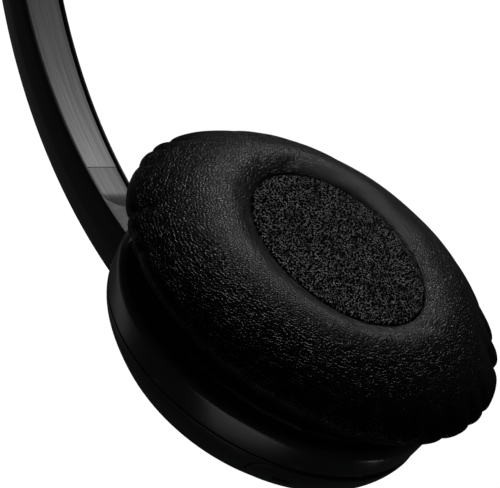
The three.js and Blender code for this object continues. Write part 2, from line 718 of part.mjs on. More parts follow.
const boomEnd = BOOM_ROUTE[BOOM_ROUTE.length - 1];
const boomAim = boomEnd.clone().sub(BOOM_ROUTE[BOOM_ROUTE.length - 2]).normalize();

const onBoom = (geometry, past) => {
  const turn = new THREE.Quaternion().setFromUnitVectors(new THREE.Vector3(0, 0, 1), boomAim);
  return geometry.applyQuaternion(turn).translate(...boomEnd.clone().addScaledVector(boomAim, past));
};

const micCapsule = () => onBoom(cut(
  turned([
    [0, GAP],
    [2.2, GAP],
    [3.4, 2.2],
    [3.6, 5],
    [3.6, 12],
    [2.8, 13.6],
    [0, 13.9],
  ], 14),
  disc(2.6, 9, 12.2, 0, 0, 14),
  disc(0.8, 11, 16, 0, 0, 6),
), 0);

const micElement = () => onBoom(disc(2.3, 9.3, 11.9, 0, 0, 14), 0);

const windscreen = () => onBoom(turned([
  [3.95, 3.4],
  [5.2, 3.4],
  [6.7, 6.5],
  [6.6, 13],
  [4.2, 17.3],
  [0, 18.6],
  [0, 14.3],
  [3.0, 14.1],
  [3.95, 12.4],
], 16), 0);

const muteButton = () => turned([
  [0, -26.1],
  [MUTE_R - 0.6, -26.1],
  [MUTE_R, -25.7],
  [MUTE_R, -23.9],
  [0, -23.9],
], 14).translate(0, HUB_U, 0);

// ---------------------------------------------------------------- assembly
piece(headset, 'spring_band', springBand(), steel);
piece(headset, 'crown_cover', crownCover(), shellBlack);
piece(headset, 'crown_pad_base', padBase(), innerBlack);
piece(headset, 'crown_pad', crownPad(), leather);
CROWN_SCREW_ANGLES.forEach((a, i) => piece(headset, `crown_screw_${i + 1}`, crownScrew(a), bright));

const addSide = (side, turn) => {
  const half = new THREE.Group();
  half.rotation.z = turn;
  headset.add(half);

  const arm = new THREE.Group();
  arm.position.set(ARM_AXIS_X, 0, ARM_AXIS_Z);
  half.add(arm);
  piece(arm, `slide_shoe_${side}`, slideShoe(), nylon);
  piece(arm, `detent_spring_${side}`, detentSpring(), bright);
  piece(arm, `arm_shell_${side}`, armShell(), shellBlack);
  piece(arm, `arm_inlay_${side}`, armInlay(), steel);

  const cup = new THREE.Group();
  cup.applyMatrix4(cupMatrix());
  half.add(cup);
  piece(cup, `yoke_${side}`, yoke(), shellBlack);
  piece(cup, `swivel_pin_${side}`, swivelPin(), bright);
  piece(cup, `tilt_pin_${side}`, tiltPin(), bright);
  piece(cup, `back_shell_${side}`, backShell(side), shellBlack);
  piece(cup, `front_frame_${side}`, frontFrame(), shellBlack);
  piece(cup, `baffle_${side}`, baffle(), innerBlack);
  piece(cup, `driver_frame_${side}`, driverFrame(), innerBlack);
  piece(cup, `driver_magnet_${side}`, driverMagnet(), foil);
  piece(cup, `diaphragm_${side}`, diaphragm(), foil);
  piece(cup, `speaker_guard_${side}`, speakerGuard(), innerBlack);
  BOSS_ANGLES.forEach((_, i) => piece(cup, `shell_screw_${side}_${i + 1}`, shellScrew(i), bright));
  piece(cup, `cushion_ring_${side}`, cushionRing(), innerBlack);
  piece(cup, `ear_foam_${side}`, earFoam(), rubber);
  piece(cup, `ear_cushion_${side}`, earCushion(), leather);
  piece(cup, `cushion_mesh_${side}`, cushionMesh(), mesh);
  return cup;
};

const leftCup = addSide('left', 0);
piece(leftCup, 'main_board', mainBoard(), board);
piece(leftCup, 'volume_rocker', volumeRocker(), shellBlack);
piece(leftCup, 'call_button', callButton(), shellBlack);

const rightCup = addSide('right', Math.PI);
piece(rightCup, 'battery', battery(), foil);
piece(rightCup, 'port_bezel', portBezel(), shellBlack);
piece(rightCup, 'charge_socket', chargeSocket(), bright);
piece(rightCup, 'power_switch', powerSwitch(), rubber);
piece(rightCup, 'boom_hub', boomHub(), shellBlack);
piece(rightCup, 'boom_tube', boomTube(), rubber);
piece(rightCup, 'mic_capsule', micCapsule(), shellBlack);
piece(rightCup, 'mic_element', micElement(), bright);
piece(rightCup, 'windscreen', windscreen(), rubber);
piece(rightCup, 'mute_button', muteButton(), innerBlack);

export default headset;
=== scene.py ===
import json
import math

import bmesh
import bpy
from mathutils import Euler, Matrix, Vector, noise


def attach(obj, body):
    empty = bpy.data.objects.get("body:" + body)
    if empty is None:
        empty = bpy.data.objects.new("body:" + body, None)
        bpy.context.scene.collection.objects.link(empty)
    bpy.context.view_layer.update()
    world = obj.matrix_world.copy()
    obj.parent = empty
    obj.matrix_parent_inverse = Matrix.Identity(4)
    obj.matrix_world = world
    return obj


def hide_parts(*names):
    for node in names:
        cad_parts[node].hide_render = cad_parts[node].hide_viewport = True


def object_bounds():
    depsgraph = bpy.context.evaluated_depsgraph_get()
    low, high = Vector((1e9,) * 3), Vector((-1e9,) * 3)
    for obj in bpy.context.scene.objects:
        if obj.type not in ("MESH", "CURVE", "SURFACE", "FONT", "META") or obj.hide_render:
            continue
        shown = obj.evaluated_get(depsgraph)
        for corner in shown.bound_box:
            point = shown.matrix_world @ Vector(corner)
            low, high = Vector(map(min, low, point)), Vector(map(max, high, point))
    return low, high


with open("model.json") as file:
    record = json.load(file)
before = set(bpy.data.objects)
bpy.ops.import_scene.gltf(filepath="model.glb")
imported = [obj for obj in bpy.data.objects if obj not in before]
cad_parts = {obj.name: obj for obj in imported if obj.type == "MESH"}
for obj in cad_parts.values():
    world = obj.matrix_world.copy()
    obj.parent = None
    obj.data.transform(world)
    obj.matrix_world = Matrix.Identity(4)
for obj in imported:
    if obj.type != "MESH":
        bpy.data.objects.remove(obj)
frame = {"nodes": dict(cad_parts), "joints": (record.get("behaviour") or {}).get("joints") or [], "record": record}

cad_low, cad_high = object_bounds()

# The CAD's driving dimensions, in millimetres and radians.
MM = 0.001
ARM_R = 93.4
JUNCTION = math.radians(35)
AXIS_X = 1000 * frame["record"]["behaviour"]["joints"][0]["pos_m"][0]
CROWN_DROP = AXIS_X / math.cos(JUNCTION)
CROWN_R = ARM_R - CROWN_DROP
ARM_FOOT = -0.17
ARM_HEAD = math.radians(34)
WIDTH_AT = -0.3
ARM_WIDTH = 7.6
ARM_WIDENING = 0.265
ARM_DEPTH = 8.7
ARM_THINNING = 0.358
CROWN_WIDTH = 17.0
CROWN_DEPTH = 4.6
CROWN_BAND = 12.5
LIP = 0.5
POCKET_FOOT = -0.085
POCKET_DEPTH = 2.4
STEEL = 0.8
STEEL_SUNK = 0.35
BAND_END = 0.012
GAP = 0.3
PAD_FROM = math.radians(52)
PAD_BASE = 1.3
PAD_BOTTOM = 7.5
PAD_HALF = 9.0
PAD_SEAMS = (0.26, 0.5, 0.74)
BOWL_CIRCLE = 15.0
BOWL_TUBE = 14.3
BOWL_N = -6.2
BOWL_BACK = BOWL_N - BOWL_TUBE
WALL = 1.7
SPLIT_N = -9.7
FRAME_FRONT = -3.7
FRAME_R = 30.1
FRAME_STRETCH = 0.035
TILT_N = -21.6
PLATE_IN = -23.3
PLATE_OUT = -26.8
PLATE_HALF = 4.9
HUB_IN = -24.7
BAR_ANGLE = math.radians(28.4)
BAR_LENGTH = 37.0
BAR_HEIGHT = 6.4
HUB_U = -14.8
BUTTON_U = -11.0
PATCH_R = 16.9
PATCH_NARROW = 0.911
CUSHION_EDGE = 35.2
CUSHION_NARROW = 0.985
SIDES = ("left", "right")

# ------------------------------------------------------------------ frames
joints = {j["name"]: j for j in frame["joints"]}
mounts = {m["name"]: m for m in frame["record"]["mounts"]}
ear = -Vector(mounts["cup_back_left"]["axis"])
across = Vector((0, 1, 0))
up = ear.cross(across)
cup_origin = Vector(joints["tilt_left"]["pos_m"]) - ear * TILT_N * MM
left_cup = Matrix.Translation(cup_origin) @ Matrix((across, up, ear)).transposed().to_4x4()
left_arm = Matrix.Translation(Vector(joints["size_left"]["pos_m"]))
half_turn = Matrix.Rotation(math.pi, 4, "Z")
CUP = {"left": left_cup, "right": half_turn @ left_cup}
ARM = {"left": left_arm, "right": half_turn @ left_arm}
ROW = Matrix.Identity(4)
CROWN_Z = 1000 * joints["size_left"]["pos_m"][2] + CROWN_DROP * math.sin(JUNCTION)


def mix(a, b, t):
    return a + (b - a) * t


def clamp(t, low=0.0, high=1.0):
    return max(low, min(high, t))


def ease(t):
    t = clamp(t)
    return t * t * (3 - 2 * t)


def arm_width(angle):
    return ARM_WIDTH * (1 + ARM_WIDENING * (angle - WIDTH_AT))


def arm_depth(angle):
    return ARM_DEPTH * (1 - ARM_THINNING * (angle - WIDTH_AT))


def crown_share(angle):
    return ease((angle - ARM_HEAD) / (math.pi / 2 - ARM_HEAD))


def band_width(angle):
    in_arm = arm_width(min(angle, ARM_HEAD)) - 2 * (LIP + GAP)
    return in_arm if angle < ARM_HEAD else mix(in_arm, CROWN_BAND, crown_share(angle))


def arm_point(angle, depth, y):
    return Vector((-(ARM_R + depth) * math.cos(angle), y, (ARM_R + depth) * math.sin(angle)))


def arch_point(angle, depth, y):
    near = min(angle, math.pi - angle)
    side = -1 if angle > math.pi / 2 else 1
    on_arm = near < JUNCTION
    radius = (ARM_R if on_arm else CROWN_R) + depth
    x = (AXIS_X if on_arm else 0) - radius * math.cos(near)
    z = (1000 * joints["size_left"]["pos_m"][2] if on_arm else CROWN_Z) + radius * math.sin(near)
    return Vector((side * x, y, z))


# ------------------------------------------------------------------ mesh building
def finish_mesh(mesh, sharp):
    bm = bmesh.new()
    bm.from_mesh(mesh)
    bmesh.ops.recalc_face_normals(bm, faces=bm.faces)
    bm.to_mesh(mesh)
    bm.free()
    mesh.polygons.foreach_set("use_smooth", [True] * len(mesh.polygons))
    mesh.set_sharp_from_angle(angle=math.radians(sharp))


def make(name, points, faces, place=ROW, sharp=38, uvs=None):
    mesh = bpy.data.meshes.new(name)
    mesh.from_pydata([Vector(p) * MM for p in points], [], faces)
    if uvs:
        layer = mesh.uv_layers.new(name="grain")
        for loop, uv in zip(layer.data, (uv for face in uvs for uv in face)):
            loop.uv = uv
    finish_mesh(mesh, sharp)
    obj = bpy.data.objects.new(name, mesh)
    bpy.context.scene.collection.objects.link(obj)
    obj.matrix_world = place
    return obj


def sweep(name, rings, place=ROW, sharp=38, looped=False):
    """A closed surface through rings of equal length; its ends are capped unless it loops."""
    count = len(rings[0])
    points = [p for ring in rings for p in ring]
    faces, uvs = [], []
    along = [0.0]
    for a, b in zip(rings, rings[1:] + rings[:1]):
        along.append(along[-1] + sum((Vector(p) - Vector(q)).length for p, q in zip(a, b)) / count)
    around = [0.0]
    middle = rings[len(rings) // 2]
    for p, q in zip(middle, middle[1:] + middle[:1]):
        around.append(around[-1] + (Vector(p) - Vector(q)).length)
    last = len(rings) if looped else len(rings) - 1
    for i in range(last):
        k = (i + 1) % len(rings)
        for j in range(count):
            m = (j + 1) % count
            faces.append((i * count + j, i * count + m, k * count + m, k * count + j))
            uvs.append([
                (around[j], along[i]),
                (around[j + 1], along[i]),
                (around[j + 1], along[i + 1]),
                (around[j], along[i + 1]),
            ])
    if not looped:
        for start in (0, (len(rings) - 1) * count):
            faces.append(tuple(range(start, start + count)))
            uvs.append([(around[j], along[0 if start == 0 else -2]) for j in range(count)])
    return make(name, points, faces, place, sharp, uvs)


def lathe(name, profile, segments, place, warp=lambda x, y, z: (x, y, z), sharp=38):
    """Turned about the cup's axis from [radius, height] points; a radius of 0 closes it on the axis."""
    closed = profile[0][0] > 0
    inner = profile if closed else profile[1:-1]
    rings = []
    for i in range(segments):
        a = 2 * math.pi * i / segments
        rings.append([warp(r * math.cos(a), r * math.sin(a), n) for r, n in inner])
    if closed:
        return sweep(name, rings, place, sharp, looped=True)
    count = len(inner)
    points = [p for ring in rings for p in ring]
    points += [warp(0, 0, profile[0][1]), warp(0, 0, profile[-1][1])]
    first, last = len(points) - 2, len(points) - 1
    faces = []
    for i in range(segments):
        k = (i + 1) % segments
        for j in range(count - 1):
            faces.append((i * count + j, i * count + j + 1, k * count + j + 1, k * count + j))
        faces.append((first, i * count, k * count))
        faces.append((last, k * count + count - 1, i * count + count - 1))
    return make(name, points, faces, place, sharp)


def smooth_path(points, steps):
    """A smooth curve through the points, with that many steps between neighbours."""
    out = []
    for i in range(len(points) - 1):
        p0, p1 = Vector(points[max(0, i - 1)]), Vector(points[i])
        p2, p3 = Vector(points[i + 1]), Vector(points[min(len(points) - 1, i + 2)])
        for s in range(steps):
            t = s / steps
            out.append(0.5 * (2 * p1 + (p2 - p0) * t + (2 * p0 - 5 * p1 + 4 * p2 - p3) * t * t
                              + (3 * p1 - p0 - 3 * p2 + p3) * t ** 3))
    out.append(Vector(points[-1]))
    return out


def rounded(profile, radius, steps=3, closed=True):
    """The polygon with its corners rounded to at most that radius; a third number sets a corner's own."""
    out = []
    n = len(profile)
    for i, corner in enumerate(profile):
        if not closed and i in (0, n - 1):
            out.append(tuple(corner[:2]))
            continue
        r = corner[2] if len(corner) > 2 else radius
        p = Vector(corner[:2])
        a = Vector(profile[i - 1][:2]) - p
        b = Vector(profile[(i + 1) % n][:2]) - p
        cut = min(r, a.length * 0.45, b.length * 0.45)
        start, end = p + a.normalized() * cut, p + b.normalized() * cut
        for s in range(steps + 1):
            t = s / steps
            out.append(tuple(start * (1 - t) ** 2 + p * (2 * t * (1 - t)) + end * t * t))
    return out


def baked(obj):
    """Applies the modifiers to the mesh."""
    graph = bpy.context.evaluated_depsgraph_get()
    mesh = bpy.data.meshes.new_from_object(obj.evaluated_get(graph), depsgraph=graph)
    obj.modifiers.clear()
    obj.data = mesh
    return obj


def cut_away(obj, *tools):
    for tool in tools:
        m = obj.modifiers.new("cut", "BOOLEAN")
        m.operation = "DIFFERENCE"
        m.solver = "EXACT"
        m.object = tool
    baked(obj)
    for tool in tools:
        bpy.data.objects.remove(tool)
    obj.data.polygons.foreach_set("use_smooth", [True] * len(obj.data.polygons))
    obj.data.set_sharp_from_angle(angle=math.radians(38))
    return obj


def softened(obj, width):
    """Rounds the crisp edges of a carried-over CAD node."""
    m = obj.modifiers.new("edges", "BEVEL")
    m.width = width * MM
    m.segments = 2
    m.limit_method = "ANGLE"
    m.angle_limit = math.radians(35)
    m.harden_normals = False


# ------------------------------------------------------------------ materials
class Nodes:
    def __init__(self, name):
        self.material = bpy.data.materials.new(name)
        self.material.use_nodes = True
        self.tree = self.material.node_tree
        self.shader = self.tree.nodes["Principled BSDF"]

    def add(self, kind, settings=None, **inputs):
        node = self.tree.nodes.new(kind)
        for key, value in (settings or {}).items():
            setattr(node, key, value)
        for key, value in inputs.items():
            socket = node.inputs[int(key[1:])] if key[0] == "i" and key[1:].isdigit() else node.inputs[key]
            if isinstance(value, bpy.types.NodeSocket):
                self.tree.links.new(value, socket)
            else:
                socket.default_value = value
        return node

    def link(self, source, name):
        self.tree.links.new(source, self.shader.inputs[name])

    def set(self, **values):
        for key, value in values.items():
            self.shader.inputs[key.replace("_", " ")].default_value = value

    def ramp(self, value, *stops):
        node = self.add("ShaderNodeValToRGB", Fac=value)
        elements = node.color_ramp.elements
        while len(elements) < len(stops):
            elements.new(0.5)
        for element, (at, level) in zip(elements, stops):
            element.position = at
            element.color = (*level, 1) if isinstance(level, tuple) else (level, level, level, 1)
        return node.outputs["Color"]

    def math(self, operation, a, b=0.0, c=0.0):
        return self.add("ShaderNodeMath", {"operation": operation}, i0=a, i1=b, i2=c).outputs[0]

    def noise(self, where, scale, detail=3.0, roughness=0.5):
        node = self.add("ShaderNodeTexNoise", Vector=where, Scale=scale, Detail=detail, Roughness=roughness)
        return node.outputs["Fac"]

    def bump(self, height, strength, distance):
        node = self.add("ShaderNodeBump", Height=height, Strength=strength, Distance=distance)
        return node.outputs["Normal"]

    def place(self, source="Object", scale=(1, 1, 1), turn=(0, 0, 0)):
        if source == "grain":
            where = self.add("ShaderNodeUVMap", {"uv_map": "grain"}).outputs["UV"]
        else:
            where = self.add("ShaderNodeTexCoord").outputs[source]
        return self.add("ShaderNodeMapping", Vector=where, Scale=scale, Rotation=turn).outputs["Vector"]


def moulded(name, level, rough, grain, tint=(1, 1, 1.04), depth=0.00003):
    """Satin moulded plastic: a fine spark-eroded grain, a slow flow variation and a painted highlight on its
    edges.
    """
    n = Nodes(name)
    here = n.place()
    fine = n.noise(here, grain, 4, 0.6)
    slow = n.noise(here, 60, 2)
    # Painted highlight: convex edges, found by pointiness, get a base colour 1.9 times paler.
    edge = n.add("ShaderNodeNewGeometry").outputs["Pointiness"]
    sheen_and_wear = n.ramp(edge, (0.52, 0.0), (0.60, 1.0))
    colour = n.add("ShaderNodeMix", {"data_type": "RGBA"}, Factor=sheen_and_wear)
    colour.inputs["A"].default_value = (*[level * t for t in tint], 1)
    colour.inputs["B"].default_value = (*[level * 1.9 * t for t in tint], 1)
    n.link(colour.outputs["Result"], "Base Color")
    grained = n.math("MULTIPLY_ADD", fine, 0.12, rough - 0.11)
    n.link(n.math("ADD", n.math("MULTIPLY", slow, 0.10), grained), "Roughness")
    n.link(n.bump(fine, 0.35, depth), "Normal")
    n.set(IOR=1.46, Specular_IOR_Level=0.5)
    return n.material


def brushed(name, level, rough):
    """Spring steel brushed along its length, with a few deeper scratches and a slow colour change."""
    n = Nodes(name)
    lines = n.noise(n.place("grain", (9.0, 0.09, 1)), 1.0, 6, 0.72)
    streaks = n.noise(n.place("grain", (1.7, 0.03, 1)), 1.0, 3)
    slow = n.noise(n.place("Object"), 35, 2)
    value = n.math("ADD", n.math("MULTIPLY", lines, 0.5), n.math("MULTIPLY", streaks, 0.35))
    value = n.math("MULTIPLY_ADD", slow, 0.15, value)
    n.link(n.ramp(value, (0.36, level * 0.5), (0.5, level), (0.64, level * 1.6)), "Base Color")
    n.link(n.math("MULTIPLY_ADD", lines, 0.16, rough - 0.08), "Roughness")
    n.link(n.bump(lines, 0.28, 0.00006), "Normal")
    n.set(Metallic=1.0)
    return n.material


def drawn(name, level, rough, tint=(1, 1, 1)):
    """Bright turned or stamped metal."""
    n = Nodes(name)
    here = n.place()
    fine = n.noise(here, 2600, 3)
    slow = n.noise(here, 240, 3)
    dull, bright = (tuple(level * share * t for t in tint) for share in (0.8, 1))
    n.link(n.ramp(slow, (0.3, dull), (0.7, bright)), "Base Color")
    n.link(n.math("MULTIPLY_ADD", fine, 0.2, rough - 0.1), "Roughness")
    n.link(n.bump(fine, 0.2, 0.00003), "Normal")
    n.set(Metallic=1.0)
    return n.material


def leatherette(name, level=0.003, stretch=(1.7, 3.2, 1)):
    """Soft leatherette: pebbles drawn out across the cushion, creases between them, and a painted shade that cuts
    its specular level low on the cushion's side.
    """
    n = Nodes(name)
    warp = n.noise(n.place("grain", (0.5, 0.5, 1)), 1.0, 3)
    where = n.add("ShaderNodeVectorMath", {"operation": "ADD"}, i0=n.place("grain", stretch))
    turned = n.add("ShaderNodeCombineXYZ", X=n.math("MULTIPLY", warp, 2.2), Y=n.math("MULTIPLY", warp, -1.4))
    n.tree.links.new(turned.outputs[0], where.inputs[1])
    cells = n.add("ShaderNodeTexVoronoi", {"feature": "DISTANCE_TO_EDGE", "voronoi_dimensions": "2D"},
                  Vector=where.outputs[0], Scale=1.0, Randomness=0.92)
    pebble = n.ramp(cells.outputs["Distance"], (0.0, 0.0), (0.16, 0.72), (0.42, 1.0))
    fine = n.noise(n.place("grain", (7, 4, 1)), 1.0, 3, 0.65)
    slow = n.noise(n.place("Object"), 90, 3)
    height = n.math("ADD", pebble, n.math("MULTIPLY", fine, 0.35))
    colour = n.ramp(pebble, (0.0, (level * 0.25,) * 3), (0.8, (level, level, level * 1.25)))
    n.link(colour, "Base Color")
    sheen_and_wear = n.math("MULTIPLY_ADD", slow, 0.08, -0.04)
    n.link(n.math("ADD", n.math("MULTIPLY_ADD", pebble, -0.08, 0.35), sheen_and_wear), "Roughness")
    n.link(n.bump(height, 1.0, 0.00007), "Normal")
    # Painted shade: the specular level falls below a set height in the object's axes, so the cushion's lower flank
    # reads dark.
    across = n.add("ShaderNodeSeparateXYZ", Vector=n.place("Object"))
    n.link(n.ramp(across.outputs["Z"], (0.0075, 0.07), (0.0112, 0.46)), "Specular IOR Level")
    n.set(IOR=1.5)
    return n.material


def knitted(name):
    """Open knit: glossy loops of uneven height scattered over a dark ground, with the loop tops painted pale as a
    painted highlight.
    """
    n = Nodes(name)
    wander = n.noise(n.place("Object"), 420, 2)
    where = n.place("Object", (2300, 2300, 2300), (0, 0, math.radians(58)))
    parts = n.add("ShaderNodeSeparateXYZ", Vector=where)
    x = n.math("MULTIPLY_ADD", wander, 2.4, parts.outputs["X"])
    y = n.math("MULTIPLY_ADD", wander, -2.0, parts.outputs["Y"])
    spot = n.add("ShaderNodeCombineXYZ", X=x, Y=y)
    loops = n.add("ShaderNodeTexVoronoi", {"feature": "SMOOTH_F1", "voronoi_dimensions": "2D"},
                  Vector=spot.outputs[0], Scale=1.0, Randomness=0.95, Smoothness=0.35)
    dome = n.ramp(loops.outputs["Distance"], (0.12, 1.0), (0.62, 0.0))
    fibres = n.noise(n.place("Object"), 5200, 2, 0.7)
    uneven = n.noise(n.place("Object"), 900, 2)
    height = n.math("MULTIPLY_ADD", n.math("MULTIPLY", dome, uneven), 1.6, n.math("MULTIPLY", fibres, 0.15))
    # Painted highlight: the base colour rises from near black in the ground to white on the loop tops.
    n.link(n.ramp(height, (0.40, 0.0003), (0.62, 0.02), (1.0, 1.0)), "Base Color")
    n.link(n.ramp(height, (0.3, 0.95), (0.8, 0.27)), "Roughness")
    n.link(n.ramp(height, (0.3, 0.05), (0.8, 1.0)), "Specular IOR Level")
    n.link(n.bump(height, 1.0, 0.0006), "Normal")
    return n.material


def foamed(name, level=0.012):
    """Open-cell foam."""
    n = Nodes(name)
    here = n.place()
    cells = n.add("ShaderNodeTexVoronoi", {"feature": "F1"}, Vector=here, Scale=1900.0)
    fine = n.noise(here, 2600, 4, 0.7)
    height = n.math("MULTIPLY_ADD", fine, 0.6, cells.outputs["Distance"])
    n.link(n.ramp(height, (0.3, level * 0.3), (0.9, level * 1.6)), "Base Color")
    n.link(n.math("MULTIPLY_ADD", fine, 0.15, 0.8), "Roughness")
    n.link(n.bump(height, 1.0, 0.0004), "Normal")
    n.set(Specular_IOR_Level=0.3, Sheen_Weight=0.12)
    return n.material


def laminate(name):
    """Circuit board under a green lacquer, with its tracks."""
    n = Nodes(name)
    here = n.place()
    tracks = n.add("ShaderNodeTexBrick", Vector=here, Scale=260.0)
    fine = n.noise(here, 1500, 3)
    n.link(n.ramp(tracks.outputs["Fac"], (0.0, (0.01, 0.07, 0.03)), (1.0, (0.03, 0.13, 0.06))), "Base Color")
    n.link(n.math("MULTIPLY_ADD", fine, 0.2, 0.35), "Roughness")
    n.link(n.bump(tracks.outputs["Fac"], 0.4, 0.00005), "Normal")
    return n.material


SHELL = moulded("shell_black", 0.035, 0.46, 1500)
SHELL_FINE = moulded("shell_black_fine", 0.045, 0.34, 2400, depth=0.00002)
INNER = moulded("inner_black", 0.008, 0.55, 1700)
BUTTON = moulded("button_black", 0.010, 0.42, 2100)
NYLON = moulded("nylon_natural", 0.55, 0.5, 1600, (1, 0.98, 0.93))
STRIP = brushed("brushed_steel", 0.44, 0.60)
STRIP_LOW = brushed("brushed_steel_low", 0.31, 0.60)
BRIGHT = drawn("bright_steel", 0.62, 0.3)
FOIL = drawn("foil_film", 0.42, 0.42, (0.95, 0.97, 1))
LEATHER = leatherette("leatherette_black")
KNIT = knitted("knit_black")
FOAM = foamed("foam_black")
SLEEVE = moulded("boom_rubber", 0.006, 0.62, 1900)
BOARD = laminate("board_green")


def paint(obj, material):
    obj.data.materials.clear()
    obj.data.materials.append(material)
    return obj


def settle(obj, material, body, slot, *nodes):
    paint(obj, material)
    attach(obj, body)
    if nodes:
        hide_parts(*nodes)
    return obj


# ------------------------------------------------------------------ headband
def strip_section(half, top, thick, edge):
    return rounded([(-half, top), (half, top), (half, top + thick), (-half, top + thick)], edge, 2)


def spring_band():
    rings = []
    steps = 150
    for i in range(steps + 1):
        angle = mix(BAND_END, math.pi - BAND_END, i / steps)
        near = min(angle, math.pi - angle)
        section = strip_section(band_width(near) / 2, STEEL_SUNK, STEEL, 0.16)
        rings.append([arch_point(angle, d, y) for y, d in section])
    band = sweep("band_strip", rings, sharp=50)
    return settle(band, STRIP, "headband", "band_steel", "spring_band")


def crown_cover():
    start = ARM_HEAD + GAP / ARM_R
    rings = []
    steps = 72
    for i in range(steps + 1):
        t = i / steps
        angle = mix(start, math.pi - start, t)
        near = min(angle, math.pi - angle)
        share = crown_share(near)
        half = mix(arm_width(ARM_HEAD), CROWN_WIDTH, share) / 2
        deep = mix(arm_depth(ARM_HEAD), CROWN_DEPTH, share)
        channel = band_width(near) / 2 + GAP
        floor = STEEL_SUNK + STEEL + GAP
        section = rounded([
            (-channel, 0, 0.1), (-channel, floor, 0.1), (channel, floor, 0.1), (channel, 0, 0.1),
            (half, 0, 0.35), (half, deep * 0.5, 0.9), (half * 0.74, deep, 1.6), (0, deep * 1.02, 2.0),
            (-half * 0.74, deep, 1.6), (-half, deep * 0.5, 0.9), (-half, 0, 0.35),
        ], 0.3, 3)
        rings.append([arch_point(angle, d, y) for y, d in section])
    cover = sweep("crown_shell", rings, sharp=42)
    return settle(cover, SHELL, "headband", "shell_plastic", "crown_cover")


def swollen(obj, pinned, pressure, spare, cap, frames, size=8.0):
    """Blows the cover up with its seams held, at an enlarged size. No point moves more than cap mm."""
    rest = [v.co.copy() for v in obj.data.vertices]
    place = obj.matrix_world.copy()
    obj.matrix_world = Matrix.Identity(4)
    for v in obj.data.vertices:
        v.co *= size
    group = obj.vertex_groups.new(name="seams")
    for index, weight in pinned.items():
        group.add([index], weight, "REPLACE")
    cloth = obj.modifiers.new("swell", "CLOTH")
    s = cloth.settings
    s.quality = 6
    s.mass = 0.25
    s.tension_stiffness = 14
    s.compression_stiffness = 14
    s.shear_stiffness = 6
    s.bending_stiffness = 0.6
    s.use_pressure = True
    s.uniform_pressure_force = pressure
    s.vertex_group_mass = "seams"
    s.pin_stiffness = 1.0
    s.shrink_min = -spare
    s.effector_weights.gravity = 0
    cloth.collision_settings.use_collision = False
    scene = bpy.context.scene
    scene.frame_start, scene.frame_end = 1, frames
    cloth.point_cache.frame_start, cloth.point_cache.frame_end = 1, frames
    for f in range(1, frames + 1):
        scene.frame_set(f)
    graph = bpy.context.evaluated_depsgraph_get()
    settled = [v.co.copy() for v in obj.evaluated_get(graph).data.vertices]
    obj.modifiers.clear()
    obj.vertex_groups.clear()
    for v, before, after in zip(obj.data.vertices, rest, settled):
        move = after / size - before
        if move.length > cap * MM:
            move *= cap * MM / move.length
        v.co = before + move
    obj.matrix_world = place
    scene.frame_set(1)
    return obj


def subdivided(obj):
    m = obj.modifiers.new("round", "SUBSURF")
    m.levels = m.render_levels = 1
    baked(obj)
    obj.data.polygons.foreach_set("use_smooth", [True] * len(obj.data.polygons))
    return obj


def crown_pad():
    """A padded strip with a sewn edge and three cross seams."""
    steps, count = 84, 28
    top = -2 * GAP - PAD_BASE
    thick = PAD_BOTTOM + top
    rings, pinned = [], {}
    for i in range(steps + 1):
        t = i / steps
        angle = mix(PAD_FROM - 0.03, math.pi - PAD_FROM + 0.03, t)
        end = math.sqrt(max(0.0, 1 - abs(2 * t - 1) ** 7))
        channel = 1 - 0.16 * sum(math.exp(-(((t - seam) * 100 / 1.6) ** 2)) for seam in PAD_SEAMS)
        half = PAD_HALF * mix(0.62, 0.97, end)
        deep = thick * mix(0.30, 0.93, end) * channel
        ring = []
        for j in range(count):
            a = 2 * math.pi * j / count
            y = math.copysign(abs(math.cos(a)) ** 0.62, math.cos(a)) * half
            d = math.sin(a)
            swell = 0.28 + 0.72 * abs(d) ** 0.7 if d < 0 else 0.28 * (1 - abs(d) ** 0.5)
            below = top - deep * swell
            ring.append(arch_point(angle, below, y))
            if j in (0, count // 2) or d > 0.1:
                pinned[i * count + j] = 1.0
        rings.append(ring)
    pad = sweep("crown_cushion", rings, sharp=180)
    for i in (0, steps):
        for j in range(count):
            pinned[i * count + j] = 1.0
    swollen(pad, pinned, 5.0, 0.02, 0.9, 20)
    subdivided(pad)
    settle(pad, LEATHER, "headband", "leatherette", "crown_pad")
    return pad


# ------------------------------------------------------------------ arm
def pocket_half(angle):
    into = (angle - POCKET_FOOT) * ARM_R
    half = arm_width(angle) / 2 - LIP
    return half if into >= half else math.sqrt(max(0.02, half * half - (half - into) ** 2))


def arm_ring(angle, half_pocket, deep):
    half, depth = arm_width(angle) / 2, arm_depth(angle)
    p, q = half_pocket, deep
    lip_r = min(0.14, (half - p) * 0.3)
    right = [
        (0, q), (p - 0.12, q), (p, max(q - 0.12, 0)), (p, min(lip_r, q)),
        (p + lip_r * 0.3, lip_r * 0.3 if q else 0),
        (p + lip_r, 0), (half - 0.16, 0), (half - 0.05, 0.05), (half, 0.17),
        (half + 0.02, depth * 0.2), (half + 0.03, depth * 0.4), (half + 0.01, depth * 0.61 - 0.12),
        (half - 0.012, depth * 0.61 + 0.08), (half * 0.945, depth * 0.80), (half * 0.90, depth * 0.94),
        (half * 0.86, depth * 0.985), (half * 0.78, depth), (half * 0.4, depth + 0.02),
    ]
    left = [(-y, d) for y, d in reversed(right[1:])]
    return [*right, (0, depth + 0.02), *left]


def arm_shell(side):
    stations = []
    for i in range(13):
        stations.append((mix(ARM_FOOT, POCKET_FOOT - 0.0005, i / 12), 0.14, 0.0))
    for i in range(90):
        t = (i / 89) ** 1.9
        angle = mix(POCKET_FOOT, ARM_HEAD, t)
        stations.append((angle, pocket_half(angle), POCKET_DEPTH))
    rings = []
    for angle, p, q in stations:
        rings.append([arm_point(angle, d, y) for y, d in arm_ring(angle, p, q)])
    arm = sweep(f"arm_channel_{side}", rings, ARM[side], sharp=30)
    return settle(arm, SHELL, f"arm_{side}", "shell_plastic", f"arm_shell_{side}")


